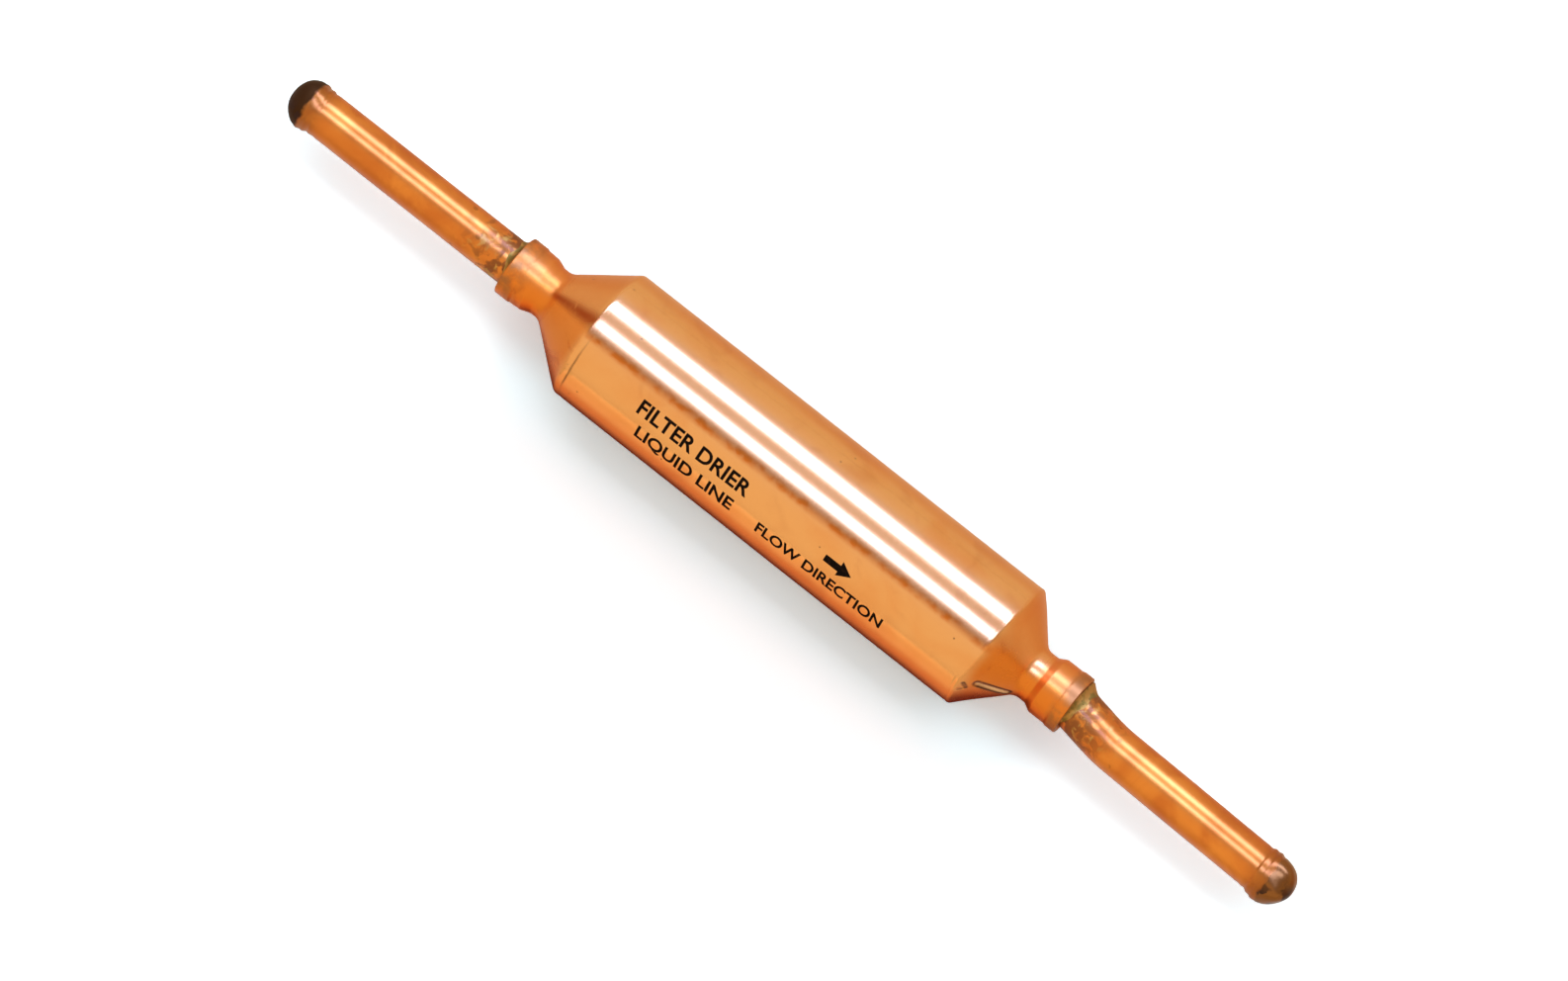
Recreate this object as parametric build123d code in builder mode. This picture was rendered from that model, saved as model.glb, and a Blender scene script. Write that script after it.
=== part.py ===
from build123d import *
import os
from math import cos, radians, sin, tan

os.makedirs("parts", exist_ok=True)

# A spun copper filter drier for a refrigerant line, lying on its side.
#
# Millimetres. The origin is on the axis, at the middle of the body. +X is the way the
# refrigerant flows, from the inlet stub to the outlet stub, and +Z is up.

# ---- Driving dimensions ----

# Body: a length of copper tube, spun down at both ends
body_diameter = 28.6
body_wall = 1.0
body_length = 98.3  # between the two corners where the cones start
spun_wall = 1.45  # the copper gathers as it is spun down, so necks and sockets are thicker

# Spun inlet end, outwards from the body's corner
inlet_cone_angle = 38.0  # between the cone and the axis
inlet_corner_radius = 4.0
inlet_neck_diameter = 10.9
inlet_neck_length = 1.85
inlet_flare_length = 2.3
inlet_socket_length = 5.9
inlet_band_length = 3.2

# Spun outlet end, which is shorter and steeper
outlet_cone_angle = 47.0
outlet_corner_radius = 2.0
outlet_neck_diameter = 10.8
outlet_neck_length = 2.6
outlet_flare_length = 1.6
outlet_socket_length = 6.4
outlet_band_length = 2.3

# Both necks and sockets
neck_blend = 2.2  # radius where the cone runs into the neck
band_rise = 0.2  # the mouth of a socket stands this proud of the rest
band_ramp = 0.5

# Stub tubes
stub_diameter = 9.52
stub_wall = 0.8
braze_gap = 0.09  # all round, between a stub and its socket

# Tips of the stubs, heated and closed by a roller
dome_diameter = 10.7
dome_passes = 4  # the roller works round the dome in passes, and each leaves a narrow cone
dome_wall = 2.2  # at the very tip, where the copper gathers
inlet_tip = 125.7  # middle of the body to the tip, along the axis
inlet_shoulder_length = 2.0  # over which the tube swells to the dome
outlet_shoulder_length = 2.9

# Route of the outlet stub, which was knocked a little to one side and dressed back
kink_angle = 9.8  # the first bend is a tight kink, right at the mouth
dressing_run = 9.7  # along the axis, from the first bend to the second
dressing_angle = 8.5
dressing_radius = 43.0
outlet_tip_run = 45.6  # along the stub, from the second bend to the tip

# Braze, drawn down from the face of each mouth to the stub
inlet_braze_length = 3.0
inlet_braze_rise = 0.9  # above the stub, at the face of the mouth
outlet_braze_length = 2.8
outlet_braze_rise = 0.6

# Filling: a wire-cloth screen against each cone, a felt pad on each screen, beads between
screen_thickness = 0.6
screen_opening = 3.2
screen_wire = 1.2
screen_border = 1.0  # solid all round, where the cloth is pressed flat
pad_thickness = 3.0
fill_clearance = 0.1  # between the body's bore and what is packed into it

# ---- Sizes worked out from these ----

body_radius = body_diameter / 2
body_bore = body_radius - body_wall
stub_radius = stub_diameter / 2
stub_bore = stub_radius - stub_wall
socket_bore = stub_radius + braze_gap
socket_radius = socket_bore + spun_wall
dome_radius = dome_diameter / 2

# A stub is drawn outwards: X runs from the middle of the body to the tip, Y is the radius.
inlet_plane = Plane(origin=(0, 0, 0), x_dir=(-1, 0, 0), z_dir=(0, 1, 0))
outlet_plane = Plane.XZ


def inset(before, corner, after, wall):
    """The inner corner of a wall whose outer lines run before-corner-after, outwards."""
    arriving = (corner - before).normalized()
    leaving = (after - corner).normalized()
    inward = Vector(arriving.Y + leaving.Y, -arriving.X - leaving.X)
    return corner + inward * (wall / (1 + arriving.dot(leaving)))


class SpunEnd:
    """One spun end of the shell, as the corners of its wall in section.

    A corner's X is its distance from the middle of the body, and its Y is its radius.
    """

    def __init__(
        self,
        cone_angle,
        corner_radius,
        neck_diameter,
        neck_length,
        flare_length,
        socket_length,
        band_length,
    ):
        """Takes the angle in degrees, then lengths in the order they come along the axis."""
        neck_radius = neck_diameter / 2
        cone_length = (body_radius - neck_radius) / tan(radians(cone_angle))
        middle = Vector(0, body_radius)
        corner = Vector(body_length / 2, body_radius)
        neck_start = Vector(corner.X + cone_length, neck_radius)
        neck_end = neck_start + Vector(neck_length, 0)
        socket_start = Vector(neck_end.X + flare_length, socket_radius)
        rim = Vector(socket_start.X + socket_length, socket_radius + band_rise)
        band_start = rim - Vector(band_length, 0)
        ramp_start = band_start - Vector(band_ramp, band_rise)
        cavity_end = inset(middle, corner, neck_start, body_wall)
        bore_start = inset(corner, neck_start, neck_end, spun_wall)
        self.mouth = rim.X
        self.seat = socket_start.X
        self.cavity_end = cavity_end.X
        self.outside = [
            (corner, corner_radius),
            (neck_start, neck_blend),
            (neck_end, 0),
            (socket_start, 0),
            (ramp_start, 0),
            (band_start, 0),
            (rim, 0),
        ]
        self.inside = [
            (Vector(rim.X, socket_bore), 0),
            (Vector(self.seat, socket_bore), 0),
            (Vector(self.seat, bore_start.Y), 0),
            (bore_start, 0),
            (cavity_end, 0),
        ]


inlet = SpunEnd(
    inlet_cone_angle,
    inlet_corner_radius,
    inlet_neck_diameter,
    inlet_neck_length,
    inlet_flare_length,
    inlet_socket_length,
    inlet_band_length,
)
outlet = SpunEnd(
    outlet_cone_angle,
    outlet_corner_radius,
    outlet_neck_diameter,
    outlet_neck_length,
    outlet_flare_length,
    outlet_socket_length,
    outlet_band_length,
)

# ---- Shell: body, cones, necks and sockets, spun from one tube ----


def to_inlet_side(corners):
    """Corners and their radii turned end for end, to -X."""
    return [(Vector(-corner.X, corner.Y), radius) for corner, radius in reversed(corners)]


wall = to_inlet_side(inlet.outside) + outlet.outside + outlet.inside + to_inlet_side(inlet.inside)

with BuildPart() as shell:
    with BuildSketch(Plane.XZ):
        with BuildLine():
            FilletPolyline(
                [corner for corner, radius in wall],
                radius=[radius for corner, radius in wall],
                close=True,
            )
        make_face()
    revolve(axis=Axis.X)

shell.part.label = "shell"
export_step(shell.part, "parts/shell.step")

# ---- Stub tubes, closed at the tip by hot spinning ----


def draw_closed_tube(start, tip, shoulder_length):
    """A tube in section with a spun-closed end, from its open end at start to its tip."""
    dome_centre = tip - dome_radius
    turns = [radians(90 * step / dome_passes) for step in range(dome_passes + 1)]
    dome = [(dome_centre + dome_radius * sin(turn), dome_radius * cos(turn)) for turn in turns]
    Polyline(
        (start, stub_bore),
        (start, stub_radius),
        (dome_centre - shoulder_length, stub_radius),
        *dome,
        (tip - dome_wall, 0),
        (tip - dome_wall, stub_bore),
        close=True,
    )


with BuildPart() as inlet_stub_tube:
    with BuildSketch(inlet_plane):
        with BuildLine():
            draw_closed_tube(inlet.seat, inlet_tip, inlet_shoulder_length)
        make_face()
    revolve(axis=Axis.X)

inlet_stub_tube.part.label = "inlet_stub_tube"
export_step(inlet_stub_tube.part, "parts/inlet_stub_tube.step")

# The outlet stub leaves its socket bent towards -Y, and is dressed nearly parallel again.
leaning_direction = Vector(1, 0).rotate(Axis.Z, -kink_angle)
dressing_reach = dressing_radius * tan(radians(dressing_angle / 2))
leaning_length = dressing_run / cos(radians(kink_angle)) - dressing_reach

with BuildLine() as outlet_route:
    in_socket = Line((outlet.seat, 0), (outlet.mouth, 0))
    leaning = Line(in_socket @ 1, (in_socket @ 1) + leaning_direction * leaning_length)
    dressing = JernArc(leaning @ 1, leaning % 1, dressing_radius, dressing_angle)

with BuildPart() as outlet_stub_tube:
    with BuildSketch(Plane.YZ.offset(outlet.seat)):
        Circle(stub_radius)
        Circle(stub_bore, mode=Mode.SUBTRACT)
    sweep(path=outlet_route.wires()[0], transition=Transition.RIGHT)
    last_run = Axis(dressing @ 1, dressing % 1)
    sideways = last_run.direction.cross(Vector(0, 0, 1))
    with BuildSketch(Plane(last_run.position, last_run.direction, sideways)):
        with BuildLine():
            draw_closed_tube(0, outlet_tip_run - dressing_reach, outlet_shoulder_length)
        make_face()
    revolve(axis=last_run)

outlet_stub_tube.part.label = "outlet_stub_tube"
export_step(outlet_stub_tube.part, "parts/outlet_stub_tube.step")

# ---- Braze: a ring round each stub, against the face of its socket ----

with BuildPart() as inlet_braze:
    with BuildSketch(inlet_plane):
        with BuildLine():
            Polyline(
                (inlet.mouth, stub_radius),
                (inlet.mouth, stub_radius + inlet_braze_rise),
                (inlet.mouth + inlet_braze_length, stub_radius),
                close=True,
            )
        make_face()
    revolve(axis=Axis.X)

inlet_braze.part.label = "inlet_braze"
export_step(inlet_braze.part, "parts/inlet_braze.step")

# The outlet stub leans in its mouth, so its braze is a full ring with the leaning tube cut out.
with BuildPart() as outlet_braze:
    with BuildSketch(outlet_plane):
        with BuildLine():
            Polyline(
                (outlet.mouth, stub_bore),
                (outlet.mouth, stub_radius + outlet_braze_rise),
                (outlet.mouth + outlet_braze_length, stub_radius),
                (outlet.mouth + outlet_braze_length, stub_bore),
                close=True,
            )
        make_face()
    revolve(axis=Axis.X)
    with BuildSketch(Plane.YZ.offset(outlet.seat)):
        Circle(stub_radius)
    sweep(path=outlet_route.wires()[0], transition=Transition.RIGHT, mode=Mode.SUBTRACT)

outlet_braze.part.label = "outlet_braze"
export_step(outlet_braze.part, "parts/outlet_braze.step")

# ---- Filling, packed into the body's bore before the second end is spun ----

fill_radius = body_bore - fill_clearance
cloth_radius = fill_radius - screen_border
screen_pitch = screen_opening + screen_wire
screen_rows = int(2 * fill_radius / screen_pitch)

# Each plane stands where a cone starts inside, and its Z points to the beads.
inlet_end_plane = Plane.YZ.offset(-inlet.cavity_end)
outlet_end_plane = -Plane.YZ.offset(outlet.cavity_end)


def clear_of_border(location):
    """Whether an opening of the cloth lies wholly inside the pressed border."""
    across = Vector(screen_opening, screen_opening).length / 2
    return location.position.length + across < cloth_radius


openings = GridLocations(screen_pitch, screen_pitch, screen_rows, screen_rows).local_locations

for side, end_plane in (("inlet", inlet_end_plane), ("outlet", outlet_end_plane)):
    with BuildPart() as screen:
        with BuildSketch(end_plane):
            Circle(fill_radius)
            with Locations(*filter(clear_of_border, openings)):
                Rectangle(screen_opening, screen_opening, mode=Mode.SUBTRACT)
        extrude(amount=screen_thickness)
    screen.part.label = f"{side}_screen"
    export_step(screen.part, f"parts/{side}_screen.step")

    with BuildPart() as felt_pad:
        with BuildSketch(end_plane.offset(screen_thickness)):
            Circle(fill_radius)
        extrude(amount=pad_thickness)
    felt_pad.part.label = f"{side}_felt_pad"
    export_step(felt_pad.part, f"parts/{side}_felt_pad.step")

bed_start = screen_thickness + pad_thickness - inlet.cavity_end
bed_end = outlet.cavity_end - screen_thickness - pad_thickness

with BuildPart() as desiccant_bed:
    with BuildSketch(Plane.YZ.offset(bed_start)):
        Circle(fill_radius)
    extrude(amount=bed_end - bed_start)

desiccant_bed.part.label = "desiccant_bed"
export_step(desiccant_bed.part, "parts/desiccant_bed.step")
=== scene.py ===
"""Dresses a spun copper filter drier for a refrigerant line.

The drier is one length of copper tube, spun down at both ends to a neck and a socket. A stub tube
is brazed into each socket, and its tip is heated and spun closed. Wire cloth and felt hold a bed
of desiccant beads inside. Lengths are in metres in the part's own frame: +X is the way of the
flow, +Z is up, and an angle round the axis is measured from +Y towards +Z.
"""

import logging
import math
from collections.abc import Mapping, Sequence
from dataclasses import dataclass
from enum import Enum
from math import cos, pi, radians, sin

import bmesh
import bpy
import numpy as np
from mathutils import Matrix, Vector


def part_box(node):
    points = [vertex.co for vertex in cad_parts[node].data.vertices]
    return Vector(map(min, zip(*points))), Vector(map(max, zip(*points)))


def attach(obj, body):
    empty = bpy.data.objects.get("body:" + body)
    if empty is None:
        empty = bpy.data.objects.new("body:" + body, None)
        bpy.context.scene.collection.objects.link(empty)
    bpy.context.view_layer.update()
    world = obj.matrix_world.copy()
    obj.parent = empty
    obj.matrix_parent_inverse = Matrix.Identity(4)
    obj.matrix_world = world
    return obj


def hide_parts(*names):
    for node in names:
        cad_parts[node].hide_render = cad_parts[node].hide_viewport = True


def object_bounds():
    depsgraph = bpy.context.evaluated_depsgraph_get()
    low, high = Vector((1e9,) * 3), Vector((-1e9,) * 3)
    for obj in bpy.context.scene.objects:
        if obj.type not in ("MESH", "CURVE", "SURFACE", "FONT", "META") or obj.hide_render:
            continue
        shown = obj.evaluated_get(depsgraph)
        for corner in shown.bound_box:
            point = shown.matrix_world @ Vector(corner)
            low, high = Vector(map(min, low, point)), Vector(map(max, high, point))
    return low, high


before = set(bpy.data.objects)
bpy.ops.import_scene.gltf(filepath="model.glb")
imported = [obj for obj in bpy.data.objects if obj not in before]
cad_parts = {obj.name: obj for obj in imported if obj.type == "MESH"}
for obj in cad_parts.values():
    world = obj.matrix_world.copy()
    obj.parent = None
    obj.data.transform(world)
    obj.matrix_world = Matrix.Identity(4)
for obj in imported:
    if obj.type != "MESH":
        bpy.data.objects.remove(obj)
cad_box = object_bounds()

MM = 0.001
BODY = "root"
CREASE = radians(34)
ROUNDING_STEP = radians(7)
STATIONS = 4001
NOTHING = 1e-9
MERGE_DISTANCE = 1e-7
# What a square metre of area lamp takes in watts at a radiance of 1.
WATTS_PER_RADIANCE = 4.0

Colour = tuple[float, float, float]
Finish = bpy.types.Material
Grid = np.ndarray
Grids = tuple[Grid, Grid, Grid]

log = logging.getLogger("filter_drier")


def smooth(value: Grid, start: float, end: float) -> Grid:
    """Rises smoothly from 0 at start to 1 at end."""
    share = np.clip((value - start) / (end - start), 0.0, 1.0)
    return share * share * (3.0 - 2.0 * share)


def hump(value: Grid, middle: float, width: float) -> Grid:
    """A smooth hump of height 1 at middle, and about width wide."""
    return np.exp(-(((value - middle) / (width / 2)) ** 2))


def turn_between(angle: Grid, middle: float) -> Grid:
    """The turn from middle to angle, from -pi to pi."""
    return (angle - middle + pi) % (2 * pi) - pi


def placed(name: str, data: bpy.types.ID) -> bpy.types.Object:
    """Adds a new object to the scene, at the origin.

    Args:
        name: the object's name.
        data: its mesh, lamp, camera or text.

    Returns:
        The object.
    """
    thing = bpy.data.objects.new(name, data)
    bpy.context.scene.collection.objects.link(thing)
    return thing


def mesh_of(name: str, places: Sequence, faces: Sequence) -> bpy.types.Mesh:
    """Makes a mesh from places and faces.

    Args:
        name: the mesh's name.
        places: the places of its corners.
        faces: the corners of each face, by their numbers.

    Returns:
        The mesh.
    """
    mesh = bpy.data.meshes.new(name)
    mesh.from_pydata(places, [], faces)
    return mesh


def facing(across: Vector, up: Vector, back: Vector, place: Vector) -> Matrix:
    """The pose at a place of a lamp or camera that has those axes."""
    return Matrix.Translation(place) @ Matrix((across, up, back)).transposed().to_4x4()


# ---- Node trees ----


class Shade:
    """A value, colour or vector in a node tree. Values take part in Python expressions."""

    def __init__(self, graph: "Graph", socket: bpy.types.NodeSocket) -> None:
        """Wraps one output socket of the graph's tree."""
        self.graph = graph
        self.socket = socket

    def __add__(self, other: "Shade | float") -> "Shade":
        """Sum."""
        return self.graph.maths("ADD", self, other)

    def __radd__(self, other: float) -> "Shade":
        """Sum with the number first."""
        return self.graph.maths("ADD", other, self)

    def __sub__(self, other: "Shade | float") -> "Shade":
        """Difference."""
        return self.graph.maths("SUBTRACT", self, other)

    def __rsub__(self, other: float) -> "Shade":
        """Difference with the number first."""
        return self.graph.maths("SUBTRACT", other, self)

    def __mul__(self, other: "Shade | float") -> "Shade":
        """Product."""
        return self.graph.maths("MULTIPLY", self, other)

    def __rmul__(self, other: float) -> "Shade":
        """Product with the number first."""
        return self.graph.maths("MULTIPLY", other, self)

    def __truediv__(self, other: "Shade | float") -> "Shade":
        """Quotient."""
        return self.graph.maths("DIVIDE", self, other)

    def __abs__(self) -> "Shade":
        """Size without sign."""
        return self.graph.maths("ABSOLUTE", self)

    def band(self, start: float, end: float) -> "Shade":
        """Rises smoothly from 0 at start to 1 at end, or falls where end is the lower.

        Args:
            start: where it is 0.
            end: where it is 1.

        Returns:
            The share, from 0 to 1.
        """
        settings = {"interpolation_type": "SMOOTHSTEP"}
        inputs = {"Value": self, "From Min": min(start, end), "From Max": max(start, end)}
        rising = self.graph.shade("ShaderNodeMapRange", settings, inputs, "Result")
        return rising if start < end else 1.0 - rising

    def near(self, middle: float, width: float) -> "Shade":
        """A hump of height 1 at middle that falls to 0 at half a width to each side."""
        return abs(self - middle).band(width / 2, 0.0)


class Graph:
    """A node tree under construction, of shaders or of geometry."""

    def __init__(self, tree: bpy.types.NodeTree) -> None:
        """Takes the tree and empties it."""
        self.tree = tree
        tree.nodes.clear()

    def node(self, kind: str, settings: Mapping[str, object], inputs: Mapping) -> bpy.types.Node:
        """Adds one node.

        Args:
            kind: the node's type.
            settings: its properties, which are set before its sockets.
            inputs: values or links, by the socket's name or number. A node stands for its first output.

        Returns:
            The node.
        """
        node = self.tree.nodes.new(kind)
        for name, value in settings.items():
            setattr(node, name, value)
        for name, value in inputs.items():
            source = value.outputs[0] if isinstance(value, bpy.types.Node) else value
            if isinstance(source, Shade):
                self.tree.links.new(source.socket, node.inputs[name])
            elif isinstance(source, bpy.types.NodeSocket):
                self.tree.links.new(source, node.inputs[name])
            else:
                node.inputs[name].default_value = source
        return node

    def shade(
        self, kind: str, settings: Mapping[str, object], inputs: Mapping, output: int | str = 0
    ) -> Shade:
        """Adds one node as node does, and gives one of its outputs."""
        return Shade(self, self.node(kind, settings, inputs).outputs[output])

    def maths(self, operation: str, *values: Shade | float) -> Shade:
        """One Math node on numbers."""
        return self.shade("ShaderNodeMath", {"operation": operation}, dict(enumerate(values)))

    def vector_maths(self, operation: str, inputs: Mapping, output: int = 0) -> Shade:
        """One Vector Math node."""
        return self.shade("ShaderNodeVectorMath", {"operation": operation}, inputs, output)

    def vector(self, x: Shade | float, y: Shade | float, z: Shade | float) -> Shade:
        """A vector from three numbers."""
        return self.shade("ShaderNodeCombineXYZ", {}, {0: x, 1: y, 2: z})

    def split(self, vector: Shade) -> list[Shade]:
        """The three numbers of a vector."""
        return [Shade(self, out) for out in self.node("ShaderNodeSeparateXYZ", {}, {0: vector}).outputs]


class Recipe(Graph):
    """The shader tree of one material, or of the world."""

    def __init__(self, owner: Finish | bpy.types.World, kind: str = "Material") -> None:
        """Starts an empty tree.

        Args:
            owner: the material or world that the tree belongs to.
            kind: Material or World.
        """
        owner.use_nodes = True
        super().__init__(owner.node_tree)
        self.owner = owner
        self.output = self.node(f"ShaderNodeOutput{kind}", {}, {})
        source = "Object" if kind == "Material" else "Generated"
        self.place = self.shade("ShaderNodeTexCoord", {}, {}, source)
        self.x, self.y, self.z = self.split(self.place)

    @classmethod
    def named(cls, name: str) -> "Recipe":
        """Starts an empty material of that name."""
        return cls(bpy.data.materials.new(name))

    def ray(self, kind: str) -> Shade:
        """1 where the ray is of that kind, and 0 elsewhere."""
        return self.shade("ShaderNodeLightPath", {}, {}, kind)

    def around(self) -> Shade:
        """The angle round the axis, from +Y towards +Z."""
        return self.maths("ARCTAN2", self.z, self.y)

    def noise(
        self, size: float, detail: float = 3.0, stretch: Sequence[float] | None = None, warp: float = 0.0
    ) -> Shade:
        """Cloudy noise round 0.5.

        Args:
            size: the width of a patch, in metres.
            detail: how many finer layers are added.
            stretch: what each axis is multiplied by first, or None.
            warp: how far the pattern is pulled about by itself.

        Returns:
            The noise as a number.
        """
        vector = self.place
        if stretch is not None:
            vector = self.shade("ShaderNodeMapping", {}, {"Vector": vector, "Scale": tuple(stretch)})
        inputs = {"Vector": vector, "Scale": 1 / size, "Detail": detail, "Distortion": warp}
        return self.shade("ShaderNodeTexNoise", {}, inputs)

    def cells(self, size: float) -> Shade:
        """The distance to the nearest of many scattered points, 0 at each point."""
        return self.shade("ShaderNodeTexVoronoi", {}, {"Vector": self.place, "Scale": 1 / size}, "Distance")

    def mix(self, share: Shade | float, first: Shade | Colour, second: Shade | Colour) -> Shade:
        """Mixes two colours.

        Args:
            share: how much of the second colour there is.
            first: the colour where share is 0.
            second: the colour where share is 1.

        Returns:
            The mixed colour.
        """
        first, second = (c if isinstance(c, Shade) else (*c, 1.0) for c in (first, second))
        settings = {"data_type": "RGBA", "clamp_factor": True}
        return self.shade("ShaderNodeMix", settings, {0: share, 6: first, 7: second}, 2)

    def layered(self, base: Shade | Colour, *layers: tuple[Shade | float, Shade | Colour]) -> Shade:
        """Lays colours over one another, in order.

        Args:
            base: the colour at the bottom.
            layers: the share that each further colour takes, and the colour.

        Returns:
            The colour that is seen.
        """
        for share, colour in layers:
            base = self.mix(share, base, colour)
        return base

    def bump(self, height: Shade, depth: float) -> Shade:
        """A normal from a height of 0 to 1 that stands for that depth in metres."""
        return self.shade("ShaderNodeBump", {}, {"Height": height, "Distance": depth, "Strength": 1.0})

    def end(self, kind: str, inputs: Mapping) -> Finish | bpy.types.World:
        """Ends the tree in one shader, and gives what it belongs to."""
        self.tree.links.new(self.node(kind, {}, inputs).outputs[0], self.output.inputs["Surface"])
        return self.owner

    def surface(
        self, haze: Shade | None = None, haze_roughness: float = 0.0, **inputs: Shade | float | Colour
    ) -> Finish:
        """Ends the tree in a Principled surface, with a softer one mixed in where there is haze.

        Args:
            haze: the share of the softer surface, or None.
            haze_roughness: the softer surface's roughness.
            inputs: the surface's sockets, whose spaces are underscores here.

        Returns:
            The material.
        """
        kind = "ShaderNodeBsdfPrincipled"
        named = {name.replace("_", " "): value for name, value in inputs.items()}
        if haze is None:
            return self.end(kind, named)
        sharp = self.node(kind, {}, named)
        soft = self.node(kind, {}, named | {"Roughness": haze_roughness})
        return self.end("ShaderNodeMixShader", {0: haze, 1: sharp, 2: soft})


class Pattern(Graph):
    """A Geometry Nodes tree with named sizes, which ends in one plain mesh."""

    def __init__(self, name: str) -> None:
        """Starts an empty tree.

        Args:
            name: the name of the tree and its material.
        """
        super().__init__(bpy.data.node_groups.new(name, "GeometryNodeTree"))
        self.name = name
        self.values: dict[str, float] = {}
        self.entry = self.node("NodeGroupInput", {}, {})

    def size(self, name: str, value: float) -> Shade:
        """Adds a named size to the tree's inputs.

        Args:
            name: the size's name.
            value: the value that the mesh is made at.

        Returns:
            The size, for use in the tree.
        """
        socket = self.tree.interface.new_socket(name=name, in_out="INPUT", socket_type="NodeSocketFloat")
        self.values[socket.identifier] = value
        return Shade(self, self.entry.outputs[name])

    def part(self, kind: str, inputs: Mapping, **settings: object) -> bpy.types.Node:
        """Adds one geometry node, whose type is GeometryNode and then the kind."""
        return self.node(f"GeometryNode{kind}", settings, inputs)

    def mesh(self, *parts: bpy.types.Node, place: Vector) -> bpy.types.Mesh:
        """Joins the parts, turns them to face along X and runs the tree.

        Args:
            parts: nodes whose geometry is joined.
            place: where the tree's origin goes.

        Returns:
            The plain mesh, in the part's frame.
        """
        joined = self.part("JoinGeometry", {})
        for geometry in parts:
            self.tree.links.new(geometry.outputs[0], joined.inputs[0])
        moves = {"Geometry": joined, "Translation": tuple(place), "Rotation": (0.0, pi / 2, 0.0)}
        moved = self.part("Transform", moves)
        real = self.part("RealizeInstances", {0: moved})
        dressing = {"Geometry": real, "Material": bpy.data.materials.new(self.name)}
        self.tree.interface.new_socket(name="Mesh", in_out="OUTPUT", socket_type="NodeSocketGeometry")
        self.node("NodeGroupOutput", {}, {0: self.part("SetMaterial", dressing)})
        carrier = placed(self.name, bpy.data.meshes.new(self.name))
        modifier = carrier.modifiers.new(self.name, "NODES")
        modifier.node_group = self.tree
        for identifier, value in self.values.items():
            modifier[identifier] = value
        graph = bpy.context.evaluated_depsgraph_get()
        mesh = bpy.data.meshes.new_from_object(carrier.evaluated_get(graph))
        carrier.modifiers.remove(modifier)
        bpy.data.objects.remove(carrier)
        return mesh


@dataclass(frozen=True)
class Scar:
    """A pressed scar between two places on the shell, each X, angle round the axis and radius."""

    start: tuple[float, float, float]
    end: tuple[float, float, float]
    width: float
    depth: float
    scraped: float = 0.0

    @property
    def ends(self) -> tuple[Vector, Vector]:
        """The two ends as places.

        Returns:
            The start and the end, in the part's frame.
        """
        first, second = (
            Vector((along, radius * cos(angle), radius * sin(angle)))
            for along, angle, radius in (self.start, self.end)
        )
        return first, second

    def distance(self, recipe: Recipe) -> Shade:
        """Measures from the scar in a finish.

        Args:
            recipe: the finish's tree.

        Returns:
            How far each place of the surface is from the scar's middle line.
        """
        first, second = self.ends
        run = second - first
        offset = recipe.vector_maths("SUBTRACT", {0: recipe.place, 1: tuple(first)})
        share = recipe.vector_maths("DOT_PRODUCT", {0: offset, 1: tuple(run / run.length_squared)}, 1)
        share = recipe.maths("MAXIMUM", recipe.maths("MINIMUM", share, 1.0), 0.0)
        reached = recipe.vector_maths("SCALE", {0: tuple(run), "Scale": share})
        return recipe.vector_maths("DISTANCE", {0: offset, 1: reached}, 1)

    def press(self, along: Grid, angle: Grid, radius: Grid) -> Grid:
        """Presses the scar in, with a low lip thrown up round it.

        Args:
            along: each place's distance along the axis.
            angle: its angle round the axis.
            radius: its radius.

        Returns:
            How far each place goes in.
        """
        first, second = (np.array(end) for end in self.ends)
        run = second - first
        across, up = radius * np.cos(angle), radius * np.sin(angle)
        places = np.stack(np.broadcast_arrays(along, across, up), axis=-1)
        share = np.clip((places - first) @ run / (run @ run), 0.0, 1.0)
        gap = np.linalg.norm(places - first - share[..., None] * run, axis=-1)
        floor = 1.0 - smooth(gap, self.width * 0.2, self.width * 0.55)
        return self.depth * (floor - 0.15 * hump(gap, self.width * 0.8, self.width * 0.5))


# ---- Finishes ----


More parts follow.
